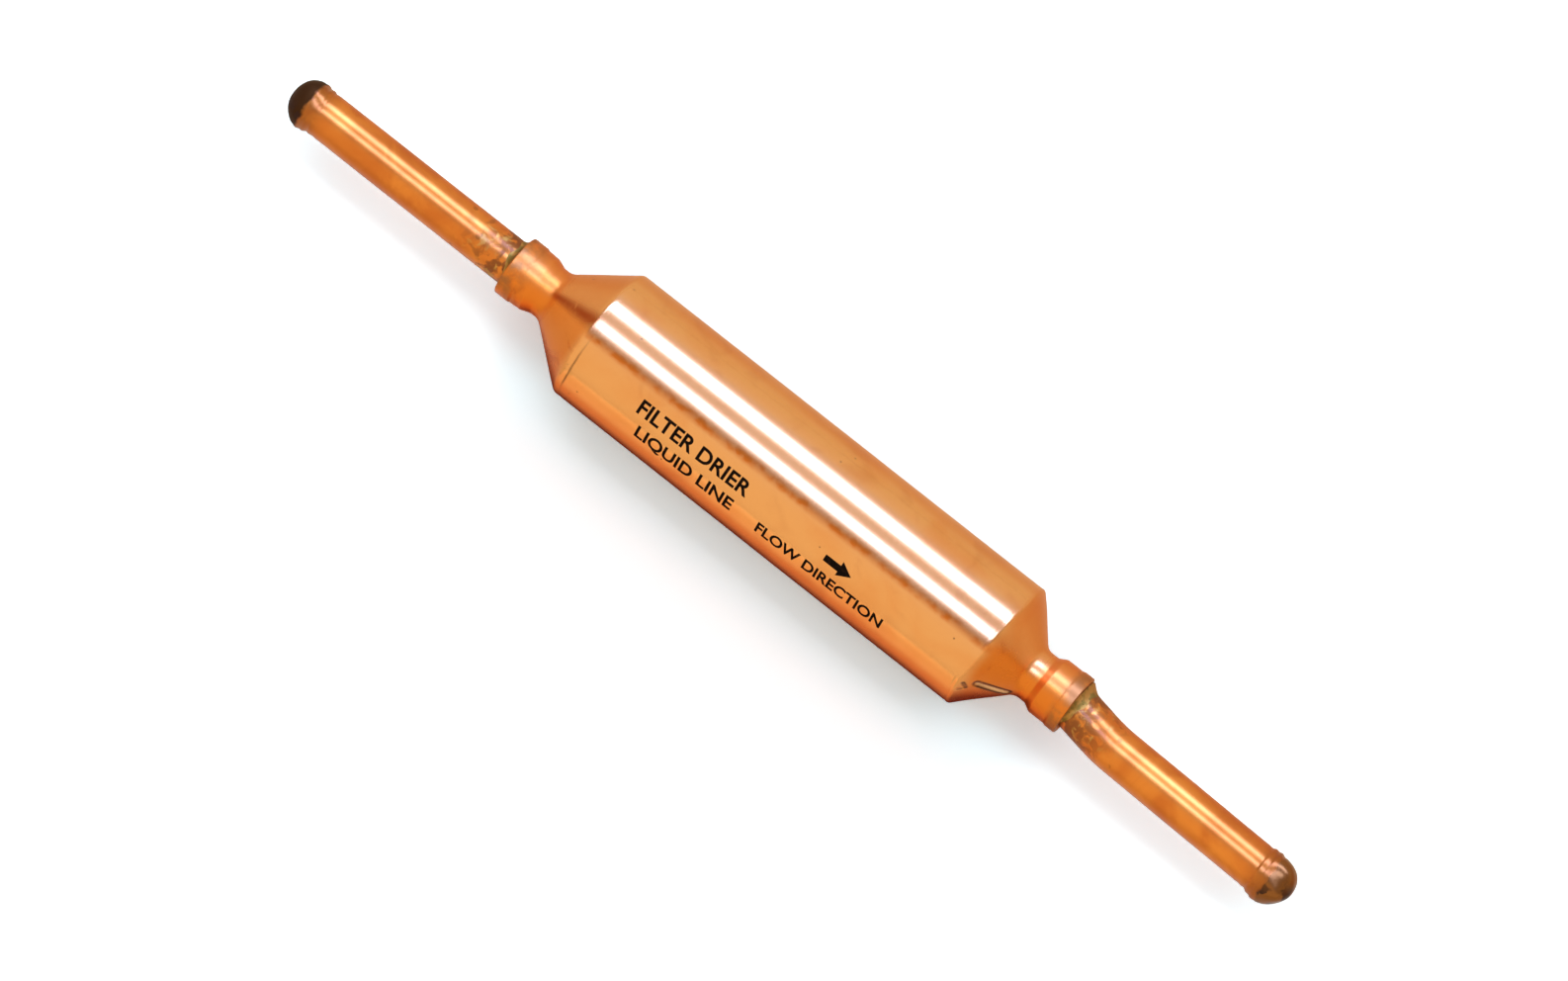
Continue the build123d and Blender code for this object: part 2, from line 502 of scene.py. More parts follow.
@dataclass(frozen=True)
class SpunCopper:
    """Bright drawn copper that was spun at its ends, heated at its sockets and handled since, with a
    painted dark reflection along the overhead highlight.
    """

    bright: Colour = (0.83, 0.35, 0.092)
    # deep and tarnish also colour the painted dark reflection beside the overhead highlight.
    deep: Colour = (0.74, 0.18, 0.016)
    tarnish_and_dark_reflection: Colour = (0.42, 0.06, 0.006)
    dulled: Colour = (0.34, 0.12, 0.026)
    speck: Colour = (0.06, 0.022, 0.006)
    scraped: Colour = (0.85, 0.50, 0.22)
    roughness: float = 0.17
    haze: float = 0.18
    haze_roughness: float = 0.36
    inlet_seam: float = -47.8 * MM
    streak_side: float = 1.63
    # The angle round the axis of the painted dark reflection beside the overhead highlight.
    dark_reflection_side: float = 1.81
    scars: tuple[Scar, ...] = ()

    def make(self) -> Finish:
        """Makes the material.

        Returns:
            The material.
        """
        r = Recipe.named("spun_copper")
        cloud = r.noise(16 * MM, 4.0, warp=0.6)
        drawn = r.noise(1.2 * MM, 2.0, stretch=(0.03, 1.0, 1.0))
        turned = r.noise(0.9 * MM, 2.0, stretch=(1.0, 0.02, 0.02))
        side = r.around()
        on_cone = abs(r.x).band(48.5 * MM, 51.0 * MM)
        on_neck = abs(r.x).band(58.5 * MM, 60.5 * MM)

        lower = side.band(self.streak_side - 0.1, self.streak_side + 0.15)
        deepening = cloud.band(0.45, 0.75) * 0.3 + on_cone * (0.35 + lower * 0.45) + on_neck * 0.45
        flame = r.noise(6 * MM, 3.0, warp=1.2)
        inlet_cone = r.x.band(-47.5 * MM, -50 * MM) * r.x.band(-62 * MM, -59 * MM)
        # A red-brown streak down the inlet cone at one angle round the axis, and red-brown patches on the
        # cones' -Y side; both also dull the copper.
        streak = side.near(self.streak_side, 0.40) * inlet_cone
        red_brown_marks = streak * flame.band(0.2, 0.5) * 0.9 + on_cone * lower * flame.band(0.56, 0.72) * 0.4
        heated = r.x.band(-64.5 * MM, -69 * MM) + r.x.band(64.0 * MM, 66.5 * MM)
        heated = heated * r.noise(3.5 * MM, 3.0).band(0.3, 0.6)

        dots = r.cells(1.7 * MM).band(0.16, 0.07)
        by_seam = r.x.near(self.inlet_seam, 5 * MM) * side.near(2.6, 1.8)
        specks = dots * by_seam * r.noise(4 * MM).band(0.5, 0.6)
        drag = r.x + (flame - 0.5) * (0.5 * MM)
        in_seam = drag.near(self.inlet_seam, 0.7 * MM) * side.near(2.5, 1.7)
        specks = specks + in_seam * cloud.band(0.35, 0.6) * 0.8
        specks = specks + r.cells(5.5 * MM).band(0.05, 0.025) * 0.6
        # Painted dark reflection: a mottled dark streak at one angle round the body, along the edge of the
        # overhead highlight, painted in the deep and tarnish colours.
        reflection_mottle = 0.35 + 0.65 * r.noise(2.2 * MM, 4.0).band(0.4, 0.7)
        painted_dark_reflection = side.near(self.dark_reflection_side, 0.20) * (1.0 - on_cone) * reflection_mottle
        smudge = r.noise(11 * MM, 4.0, warp=1.5).band(0.52, 0.72) * (1.0 - on_cone) * 0.14
        colour = r.layered(
            self.bright, (deepening, self.deep), (red_brown_marks, self.tarnish_and_dark_reflection), (heated * 0.8, self.dulled),
            (painted_dark_reflection * 1.3, self.deep), (painted_dark_reflection * 0.25 + smudge, self.tarnish_and_dark_reflection), (specks, self.speck),
        )
        for scar in self.scars:
            gap, width = scar.distance(r), scar.width
            floor = gap.band(width * 0.6, width * 0.3) * scar.scraped
            lip = gap.near(width * 0.62, width * 0.75) * (0.55 + 0.45 * flame.band(0.35, 0.5))
            colour = r.layered(colour, (floor, self.scraped), (lip, self.speck))

        dulling = on_neck * 0.08 + heated * 0.1 + red_brown_marks * 0.10 + on_cone * 0.08 + specks * 0.2
        grain = drawn * (1.0 - on_cone) + turned * on_cone + cloud * 1.5
        return r.surface(
            haze=self.haze + on_neck * 0.2,
            haze_roughness=self.haze_roughness,
            Base_Color=colour,
            Metallic=1.0,
            Roughness=self.roughness + cloud.band(0.4, 0.8) * 0.03 + dulling,
            Normal=r.bump(grain, 0.0012 * MM),
        )


@dataclass(frozen=True)
class StubCopper:
    """Soft copper tube, mottled by the torch at its socket and scaled dark at its closed tip, with painted
    shade at the socket's mouth.
    """

    name: str
    socket: float
    tip: float
    scale: Colour
    scale_metal: float
    scale_length: float
    bright: Colour = (0.76, 0.215, 0.021)
    deep: Colour = (0.62, 0.145, 0.013)
    # Also the colour of the painted shade at the socket's mouth.
    scorch_and_gap_shade: Colour = (0.17, 0.045, 0.006)
    bloom: Colour = (0.62, 0.30, 0.045)
    roughness: float = 0.30
    scale_roughness: float = 0.35
    scale_patch: Colour = (0.05, 0.02, 0.01)

    def make(self) -> Finish:
        """Makes the material.

        Returns:
            The material.
        """
        r = Recipe.named(self.name)
        reach = r.x * math.copysign(1.0, self.tip)
        mouth, tip = abs(self.socket), abs(self.tip)
        cloud = r.noise(9 * MM, 4.0, warp=0.8)
        drawn = r.noise(0.8 * MM, 2.0, stretch=(0.03, 1.0, 1.0))

        torched = reach.band(mouth + 15 * MM, mouth + 2 * MM)
        blotch = r.noise(2.6 * MM, 4.0, warp=0.9)
        burnt_and_gap_shade = torched * (blotch + torched * 0.14).band(0.5, 0.68)
        # Painted shade: a dark band on the tube right at the socket's mouth, on the side round 2.6 radians,
        # standing in for the shade in the gap between tube and socket.
        burnt_and_gap_shade = burnt_and_gap_shade * 0.8 + reach.band(mouth + 1.2 * MM, mouth) * r.around().near(2.6, 3.0) * 0.5
        film = torched * r.noise(1.8 * MM, 3.0, warp=0.5).band(0.55, 0.72)
        spots = r.cells(3.2 * MM).band(0.22, 0.12) * reach.band(mouth + 22 * MM, mouth + 8 * MM)
        spots = spots * r.noise(6 * MM).band(0.52, 0.58)

        ragged = reach + (r.noise(2.2 * MM, 3.0) - 0.5) * (1.6 * MM)
        start = tip - self.scale_length
        warmed = ragged.band(start - 5 * MM, start) * 0.55
        scaled = ragged.band(start, start + 0.8 * MM)
        patches = r.noise(3.4 * MM, 3.0, warp=0.4).band(0.5, 0.58) * r.around().near(2.9, 2.6)
        crust = r.mix(patches, self.scale, self.scale_patch)
        colour = r.layered(
            self.bright, (cloud.band(0.35, 0.7), self.deep), (burnt_and_gap_shade, self.scorch_and_gap_shade), (film * 0.8, self.bloom),
            (spots * 0.5, self.scorch_and_gap_shade), (warmed, self.scorch_and_gap_shade), (scaled, crust),
        )

        metal = 1.0 - scaled * (1.0 - self.scale_metal) - burnt_and_gap_shade * 0.25
        roughness = self.roughness + burnt_and_gap_shade * 0.15 + film * 0.1 + scaled * self.scale_roughness
        flakes = r.noise(0.9 * MM, 3.0) * (scaled * 8.0 + burnt_and_gap_shade * 3.0)
        height = drawn * (1.0 - scaled) + flakes + r.noise(3.2 * MM, 1.0) * scaled * 60.0
        return r.surface(
            Base_Color=colour,
            Metallic=metal,
            Roughness=roughness,
            Normal=r.bump(height, 0.0012 * MM),
            Specular_IOR_Level=0.1,
            Coat_Weight=(1.0 - scaled) * 0.15,
            Coat_Roughness=0.2,
        )


@dataclass(frozen=True)
class BrazeMetal:
    """Braze that has run, dull tan with a green-grey film of spent flux."""

    tan: Colour = (0.46, 0.20, 0.028)
    green: Colour = (0.25, 0.13, 0.016)
    dark: Colour = (0.06, 0.025, 0.004)
    roughness: float = 0.5

    def make(self) -> Finish:
        """Makes the material.

        Returns:
            The material.
        """
        r = Recipe.named("braze_metal")
        film = r.noise(2.2 * MM, 4.0, warp=0.8)
        pits = r.cells(0.9 * MM).band(0.2, 0.08) * r.noise(2.0 * MM).band(0.5, 0.6)
        colour = r.layered(self.tan, (film.band(0.4, 0.6), self.green), (pits * 0.7, self.dark))
        return r.surface(
            Base_Color=colour,
            Metallic=1.0,
            Roughness=self.roughness + film * 0.15,
            Normal=r.bump(film * 3.0 + r.noise(0.5 * MM, 2.0) - pits, 0.02 * MM),
        )


@dataclass(frozen=True)
class MarkingInk:
    """Black marking ink, a little browner in places where it is worn thin."""

    black: Colour = (0.010, 0.006, 0.004)
    worn: Colour = (0.035, 0.015, 0.008)

    def make(self) -> Finish:
        """Makes the material.

        Returns:
            The material.
        """
        r = Recipe.named("marking_ink")
        colour = r.mix(r.noise(0.8 * MM, 3.0).band(0.5, 0.75), self.black, self.worn)
        return r.surface(Base_Color=colour, Roughness=0.7 + r.noise(0.5 * MM) * 0.1, Specular_IOR_Level=0.0)


@dataclass(frozen=True)
class BronzeWire:
    """Woven bronze wire, a little tarnished."""

    bright: Colour = (0.66, 0.45, 0.2)
    dull: Colour = (0.36, 0.22, 0.09)

    def make(self) -> Finish:
        """Makes the material.

        Returns:
            The material.
        """
        r = Recipe.named("bronze_wire")
        patch = r.noise(5 * MM, 3.0)
        colour = r.mix(patch.band(0.4, 0.7), self.bright, self.dull)
        return r.surface(Base_Color=colour, Metallic=1.0, Roughness=0.28 + patch * 0.15)


@dataclass(frozen=True)
class GlassFelt:
    """White glass-fibre felt."""

    white: Colour = (0.82, 0.81, 0.76)
    shade: Colour = (0.62, 0.60, 0.54)

    def make(self) -> Finish:
        """Makes the material.

        Returns:
            The material.
        """
        r = Recipe.named("glass_felt")
        fibre = r.noise(0.35 * MM, 4.0, warp=2.0)
        colour = r.mix(fibre.band(0.35, 0.7), self.shade, self.white)
        return r.surface(
            Base_Color=colour, Roughness=0.95, Normal=r.bump(fibre, 0.12 * MM), Sheen_Weight=0.2
        )


@dataclass(frozen=True)
class DriedBeads:
    """Beige molecular-sieve beads with a dusty skin."""

    pale: Colour = (0.62, 0.50, 0.33)
    dark: Colour = (0.42, 0.31, 0.18)

    def make(self) -> Finish:
        """Makes the material.

        Returns:
            The material.
        """
        r = Recipe.named("dried_beads")
        between = r.noise(2.5 * MM, 1.0)
        dust = r.noise(0.3 * MM, 3.0)
        colour = r.mix(between.band(0.35, 0.7), self.pale, self.dark)
        return r.surface(Base_Color=colour, Roughness=0.85 + dust * 0.1, Normal=r.bump(dust, 0.03 * MM))


# ---- Turned meshes ----


@dataclass(frozen=True)
class Corner:
    """One corner of an outline that is turned round an axis.

    The outline's points between this corner and the next are step apart.
    """

    along: float
    radius: float
    rounding: float = 0.0
    step: float = 2.0 * MM

    @property
    def place(self) -> Grid:
        """The corner's distance along and its radius."""
        return np.array((self.along, self.radius))


def turning(before: Corner, corner: Corner, after: Corner) -> tuple[Grid, Grid, float, float]:
    """Measures the turn at one corner of an outline.

    Args:
        before: the corner before it.
        corner: the corner.
        after: the corner after it.

    Returns:
        The ways back and ahead, the turn, and how far the rounding reaches along each.
    """
    back, ahead = before.place - corner.place, after.place - corner.place
    back, ahead = back / np.linalg.norm(back), ahead / np.linalg.norm(ahead)
    turn = pi - math.acos(float(np.clip(back @ ahead, -1.0, 1.0)))
    return back, ahead, turn, corner.rounding * math.tan(turn / 2)


def mirrored(corners: Sequence[Corner]) -> list[Corner]:
    """Mirrors corners towards -X and puts them in the other order.

    Args:
        corners: corners of an outline.

    Returns:
        The mirrored corners, each with the step of the run that now follows it.
    """
    turned = corners[::-1]
    followed = [*turned[1:], turned[-1]]
    return [Corner(-c.along, c.radius, c.rounding, run.step) for c, run in zip(turned, followed)]


def rounded(corners: Sequence[Corner]) -> Grid:
    """Rounds the corners of a closed outline and divides its runs.

    Args:
        corners: the corners in order, anticlockwise or clockwise.

    Returns:
        The points, as rows of distance along and radius.
    """
    points: list[Grid] = []
    count = len(corners)
    for index, corner in enumerate(corners):
        here, after, beyond = corner.place, corners[(index + 1) % count], corners[(index + 2) % count]
        back, ahead, turn, reach = turning(corners[index - 1], corner, after)
        if reach > NOTHING:
            steps = max(3, int(turn / ROUNDING_STEP) + 1)
            middle_way = (back + ahead) / np.linalg.norm(back + ahead)
            centre = here + middle_way * (corner.rounding / cos(turn / 2))
            start = here + back * reach - centre
            sign = math.copysign(1.0, float(np.cross(-back, ahead)))
            for part in range(steps + 1):
                swing = sign * turn * part / steps
                spin = np.array(((cos(swing), -sin(swing)), (sin(swing), cos(swing))))
                points.append(centre + spin @ start)
        else:
            points.append(here)
        run = float(np.linalg.norm(after.place - here)) - reach - turning(corner, after, beyond)[3]
        pieces = max(1, int(round(run / corner.step)))
        points += [here + ahead * (reach + run * part / pieces) for part in range(1, pieces)]
    return np.array(points)


@dataclass(frozen=True)
class Bend:
    """A bend in a route, to the left where turn is positive, seen from above."""

    start: float
    length: float
    turn: float


@dataclass(frozen=True)
class Route:
    """A line in the plane of the axis that starts on the body's axis and may bend.

    Distances along it are measured from the middle of the body, and towards -X where outward
    is -1.
    """

    outward: int = 1
    bends: tuple[Bend, ...] = ()

    def follow(self, along: Grid) -> Grids:
        """Finds where a distance along the route is.

        Args:
            along: distances, in any shape.

        Returns:
            X and Y of each place, and the heading there.
        """
        stations = np.linspace(float(along.min()), float(along.max()) + MM, STATIONS)
        heading = np.zeros_like(stations)
        for bend in self.bends:
            heading += bend.turn * smooth(stations, bend.start, bend.start + bend.length)
        step = stations[1] - stations[0]
        x = stations[0] + np.concatenate(([0.0], np.cumsum(np.cos(heading[1:]) * step)))
        y = np.concatenate(([0.0], np.cumsum(np.sin(heading[1:]) * step)))
        found_x = np.interp(along, stations, x) * self.outward
        return found_x, np.interp(along, stations, y), np.interp(along, stations, heading)


def finished(
    name: str, mesh: bpy.types.Mesh, finish: Finish, node: str = "", turn_out: bool = False
) -> bpy.types.Object:
    """Merges a mesh's doubles, shades it and rides it on the body.

    Args:
        name: the piece's name.
        mesh: its mesh, in the part's frame.
        finish: its material.
        node: the CAD node that it replaces, if any.
        turn_out: whether its faces still have to be turned outwards.

    Returns:
        The object, at the origin.
    """
    merging = bmesh.new()
    merging.from_mesh(mesh)
    bmesh.ops.remove_doubles(merging, verts=merging.verts, dist=MERGE_DISTANCE)
    bmesh.ops.dissolve_degenerate(merging, edges=merging.edges, dist=MERGE_DISTANCE / 10)
    if turn_out:
        bmesh.ops.recalc_face_normals(merging, faces=merging.faces)
    merging.to_mesh(mesh)
    merging.free()
    mesh.shade_smooth()
    mesh.set_sharp_from_angle(angle=CREASE)
    mesh.materials.clear()
    mesh.materials.append(finish)
    piece = placed(name, mesh)
    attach(piece, BODY)
    if node:
        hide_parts(node)
    log.info("%s: %d vertices, %d faces", name, len(mesh.vertices), len(mesh.polygons))
    return piece


@dataclass
class TurnedPiece:
    """A piece that is a closed outline turned round a route, in place of its CAD node."""

    name: str
    node: str

    def depart(self, along: Grid, angle: Grid, radius: Grid) -> Grids:
        """The shift along the axis, the growth of the radius and the shift towards +Y at each place."""
        raise NotImplementedError

    def turn(
        self, corners: Sequence[Corner], finish: Finish, slot: str, segments: int, route: Route = Route()
    ) -> bpy.types.Object:
        """Turns the outline into the piece, with its faces pointing outwards and its poles closed.

        Args:
            corners: the outline's corners.
            finish: the piece's material.
            slot: not used.
            segments: how many faces go round it.
            route: the line that it is turned round.

        Returns:
            The finished object, at the origin.
        """
        outline = rounded(corners)
        spokes = np.linspace(0.0, 2 * pi, segments, endpoint=False)[None, :]
        along, angle, radius = np.broadcast_arrays(outline[:, :1], spokes, outline[:, 1:])
        shift, growth, sideways = self.depart(along, angle, radius)
        reach = np.where(radius > NOTHING, radius + growth, 0.0)
        x, y, heading = route.follow(along + shift)
        across = reach * np.cos(angle)
        x = x - across * np.sin(heading) * route.outward
        y = y + across * np.cos(heading) + sideways
        places = np.stack((x, y, np.broadcast_to(reach * np.sin(angle), across.shape)), axis=-1)
        ring = np.arange(segments)
        following = (ring + 1) % segments
        ahead = np.roll(outline, -1, axis=0)
        way = float(np.sum(outline[:, 0] * ahead[:, 1] - ahead[:, 0] * outline[:, 1]))
        faces: list[list[int]] = []
        for index in range(len(outline)):
            beyond = (index + 1) % len(outline)
            if max(outline[index, 1], outline[beyond, 1]) <= NOTHING:
                continue
            near, far = index * segments, beyond * segments
            quads = np.stack((near + ring, near + following, far + following, far + ring), axis=1)
            faces += (quads[:, ::-1] if (way > 0) == (route.outward > 0) else quads).tolist()
        mesh = mesh_of(self.name, places.reshape(-1, 3).tolist(), faces)
        return finished(self.name, mesh, finish, self.node)


# ---- Sizes that the pieces share ----


@dataclass(frozen=True)
class Seat:
    """Where one spun end holds its stub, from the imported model."""

    outward: int
    rim: float
    tip: float
    body_radius: float = 14.3 * MM
    stub_radius: float = 4.76 * MM
    stub_bore: float = 3.96 * MM
    socket_bore: float = 4.85 * MM


@dataclass(frozen=True)
class SpunEnd:
    """One spun end of the shell, with lengths outwards from the cone."""

    seat: Seat
    cone_angle: float
    corner_rounding: float
    neck_radius: float
    neck_length: float
    flare_length: float
    socket_length: float
    band_length: float
    shoulder_rounding: float
    socket_radius: float = 6.3 * MM
    neck_blend: float = 2.6 * MM
    band_rise: float = 0.2 * MM
    band_ramp: float = 0.5 * MM
    bell_radius: float = 5.75 * MM
    bell_depth: float = 1.5 * MM
    lip: float = 0.3 * MM
    body_wall: float = 1.0 * MM
    spun_wall: float = 1.45 * MM

    @property
    def socket_start(self) -> float:
        """Where the socket reaches its full width."""
        return self.seat.rim - self.socket_length

    @property
    def neck_end(self) -> float:
        """Where the neck flares into the socket."""
        return self.socket_start - self.flare_length

    @property
    def neck_start(self) -> float:
        """Where the cone meets the neck."""
        return self.neck_end - self.neck_length

    @property
    def corner(self) -> float:
        """Where the body's corner would be, if it were sharp."""
        rise = self.seat.body_radius - self.neck_radius
        return self.neck_start - rise / math.tan(self.cone_angle)

    def outside(self) -> list[Corner]:
        """Lays out the outer side.

        Returns:
            The corners, outwards from the body.
        """
        band = self.socket_radius + self.band_rise
        rim, body = self.seat.rim, self.seat.body_radius
        band_start = rim - self.band_length
        seam = self.corner - self.corner_rounding * math.tan(self.cone_angle / 2)
        return [
            Corner(seam - 6 * MM, body, 0.0, 0.5 * MM),
            Corner(seam - 1 * MM, body, 0.0, 0.12 * MM),
            Corner(self.corner, body, self.corner_rounding, 0.3 * MM),
            Corner(self.neck_start, self.neck_radius, self.neck_blend, 0.3 * MM),
            Corner(self.neck_end, self.neck_radius, self.shoulder_rounding, 0.25 * MM),
            Corner(self.socket_start, self.socket_radius, self.shoulder_rounding, 0.4 * MM),
            Corner(band_start - self.band_ramp, self.socket_radius, 0.4 * MM, 0.2 * MM),
            Corner(band_start, band, 0.4 * MM, 0.4 * MM),
            Corner(rim, band, self.lip, 0.3 * MM),
        ]

    def inside(self) -> list[Corner]:
        """Lays out the inner side.

        Returns:
            The corners, inwards from the rim.
        """
        rim = self.seat.rim
        seat = self.socket_start
        bore = self.neck_radius - self.spun_wall
        return [
            Corner(rim, self.bell_radius, self.lip, 0.2 * MM),
            Corner(rim - self.bell_depth, self.seat.socket_bore, 1.2 * MM, 1.0 * MM),
            Corner(seat, self.seat.socket_bore, 0.0, 0.6 * MM),
            Corner(seat, bore, 0.0, 2.0 * MM),
            Corner(self.neck_start + 0.6 * MM, bore, 0.5 * MM, 2.0 * MM),
            Corner(self.corner - 0.5 * MM, self.seat.body_radius - self.body_wall, 0.5 * MM, 12.0 * MM),
        ]


@dataclass(frozen=True)
class Dent:
    """A shallow dent, at a place along the axis and an angle round it."""

    along: float
    angle: float
    length: float
    breadth: float
    depth: float

    def press(self, along: Grid, angle: Grid) -> Grid:
        """Presses the dent in.

        Args:
            along: each place's distance along the axis.
            angle: its angle round the axis.

        Returns:
            How far each place goes in.
        """
        return self.depth * hump(along, self.along, self.length) * hump(
            turn_between(angle, self.angle), 0.0, self.breadth
        )


@dataclass
class Shell(TurnedPiece):
    """The spun shell: body, cones, necks and sockets, all one piece of tube."""

    inlet: SpunEnd
    outlet: SpunEnd
    socket_offset: float = 0.3 * MM
    seam_skew: float = 0.7 * MM
    skewed_length: float = 9 * MM
    groove_depth: float = 0.05 * MM
    groove_width: float = 0.35 * MM
    inlet_groove: float = 1.4 * MM
    outlet_groove: float = 0.9 * MM
    wobble_heights: tuple[float, float, float] = (0.010 * MM, 0.006 * MM, 0.003 * MM)
    chatter_heights: tuple[float, float] = (0.018 * MM, 0.010 * MM)
    chatter_rise: tuple[float, float] = (50 * MM, 54 * MM)
    chatter_fall: tuple[float, float] = (58 * MM, 61 * MM)
    dents: tuple[Dent, ...] = (
        Dent(52.0 * MM, 0.9, 3.0 * MM, 0.45, 0.10 * MM),
        Dent(-20 * MM, 2.9, 30 * MM, 0.5, 0.05 * MM),
    )
    scars: tuple[Scar, ...] = ()

    def depart(self, along: Grid, angle: Grid, radius: Grid) -> Grids:
        """Makes the turned shell as slightly untrue as hand-fed spinning leaves it.

        Args:
            along: each place's distance along the axis.
            angle: its angle round the axis.
            radius: its radius.

        Returns:
            The shift along the axis, the growth of the radius and the shift towards +Y.
        """
        outlet_corner, inlet_corner = self.outlet.corner, -self.inlet.corner
        near_outlet = smooth(along, outlet_corner - self.skewed_length, outlet_corner)
        near_outlet = near_outlet * (1 - smooth(along, outlet_corner + 1 * MM, self.outlet.neck_start))
        shift = self.seam_skew * np.cos(angle) * near_outlet
        spun = smooth(along, outlet_corner, self.outlet.neck_start)
        spun = spun + smooth(-along, -inlet_corner, self.inlet.neck_start)
        sideways = self.socket_offset * spun * np.ones_like(angle)
        oval, trefoil, wave = self.wobble_heights
        wobble = np.sin(2 * angle + 1.1 + along * 55) * oval + np.sin(3 * angle - along * 95) * trefoil
        wobble = wobble + np.sin(along * 310 + np.sin(angle) * 0.8) * wave
        coarse, fine = self.chatter_heights
        chatter = np.sin(7 * angle + 0.6) * coarse + np.sin(11 * angle + 2.0 + along * 200) * fine
        cone = smooth(np.abs(along), *self.chatter_rise) * (1 - smooth(np.abs(along), *self.chatter_fall))
        growth = wobble + chatter * cone
        side = smooth(-np.cos(angle), -0.35, 0.5)
        for seam in (inlet_corner + self.inlet_groove, outlet_corner - self.outlet_groove):
            growth = growth - self.groove_depth * hump(along, seam, self.groove_width) * side
        growth = growth + self.groove_depth * hump(along, outlet_corner - 0.35 * MM, 0.5 * MM)
        growth = growth - 2 * self.groove_depth * hump(along, -self.inlet.socket_start - 0.4 * MM, MM)
        for dent in self.dents:
            growth = growth - dent.press(along, angle)
        for scar in self.scars:
            growth = growth - scar.press(along, angle, radius)
        outer = radius > self.inlet.seat.socket_bore + 1.0 * MM
        return shift, growth * outer, sideways

    def build(self, finish: Finish) -> None:
        """Builds the shell.

        Args:
            finish: its material.
        """
        inlet_outside, inlet_inside = mirrored(self.inlet.outside()), mirrored(self.inlet.inside())
        corners = [*inlet_outside, *self.outlet.outside(), *self.outlet.inside(), *inlet_inside]
        self.turn(corners, finish, "copper", segments=180)


@dataclass
class StubTube(TurnedPiece):
    """A stub tube with its tip spun closed."""

    seat: Seat
    start: float
    shoulder_length: float
    shoulder_land: float
    bends: tuple[Bend, ...] = ()
    dome_radius: float = 5.35 * MM
    dome_length: float = 5.35 * MM
    dome_wall: float = 2.2 * MM
    offset: float = 0.3 * MM
    phase: float = 0.0
    wave: float = 0.012 * MM
    knocks: float = 0.15 * MM
    ripple: float = 0.11 * MM
    ripple_pitch: float = 1.5 * MM
    rippled_length: float = 4.5 * MM

    @property
    def route_length(self) -> float:
        """Finds the route's length, which its bends make longer than the tube's reach.

        Returns:
            The distance along the route at which the tip comes to its place on the axis.
        """
        route = Route(1, self.bends)
        stations = np.linspace(self.start, self.seat.tip + 6 * MM, 3000)
        return float(np.interp(self.seat.tip, route.follow(stations)[0], stations))

    def depart(self, along: Grid, angle: Grid, radius: Grid) -> Grids:
        """Makes the tube slightly untrue, and its hot-spun dome more so.

        Args:
            along: each place's distance along the route.
            angle: its angle round it.
            radius: its radius.

        Returns:
            The shift along the route, the growth of the radius and the shift towards +Y.
        """
        tip = self.route_length
        dome = smooth(along, tip - 8 * MM, tip - 5 * MM)
        wave = (np.sin(2 * angle + self.phase) + np.sin(along * 260 + self.phase)) * self.wave
        knocks = np.sin(3 * angle + self.phase + along * 500) + 0.7 * np.sin(5 * angle + 1.3 - along * 300)
        rings = np.cos((along - tip) / self.ripple_pitch * 2 * pi + np.cos(angle))
        rings = rings * hump(along, tip - self.dome_length - 2.0 * MM, self.rippled_length)
        growth = wave + (knocks * self.knocks - self.knocks) * dome + rings * self.ripple
        outer = radius > self.seat.stub_bore + 0.3 * MM
        fade = smooth(radius, 0.0, 2.5 * MM)
        growth = growth * np.where(outer | (dome > 0.5), 1.0, 0.0) * fade
        return np.zeros_like(growth), growth, np.full_like(growth, self.offset)

    def build(self, finish: Finish) -> None:
        """Builds the stub.

        Args:
            finish: its material.
        """
        tip, radius, bore = self.route_length, self.seat.stub_radius, self.seat.stub_bore
        dome = self.dome_radius
        centre = tip - self.dome_length
        land = centre - self.shoulder_land
        turns = np.radians(np.linspace(0.0, 90.0, 19))
        length = self.dome_length
        cap = [Corner(centre + length * sin(t), dome * cos(t), 0.0, MM) for t in turns[:-1]]
        corners = [
            Corner(self.start, bore, 0.0, 0.4 * MM),
            Corner(self.start, radius, 0.3 * MM, 0.8 * MM),
            Corner(land - self.shoulder_length, radius, 2.4 * MM, 0.3 * MM),
            Corner(land, dome, 1.2 * MM, 0.3 * MM),
            *cap,
            Corner(tip, 0.0, 0.0, 3 * MM),
            Corner(tip - self.dome_wall, 0.0, 0.0, 1.5 * MM),
            Corner(tip - self.dome_wall, bore, 2.0 * MM, 8.0 * MM),
        ]
        route = Route(self.seat.outward, self.bends)
        self.turn(corners, finish, "stub_copper", segments=160, route=route)


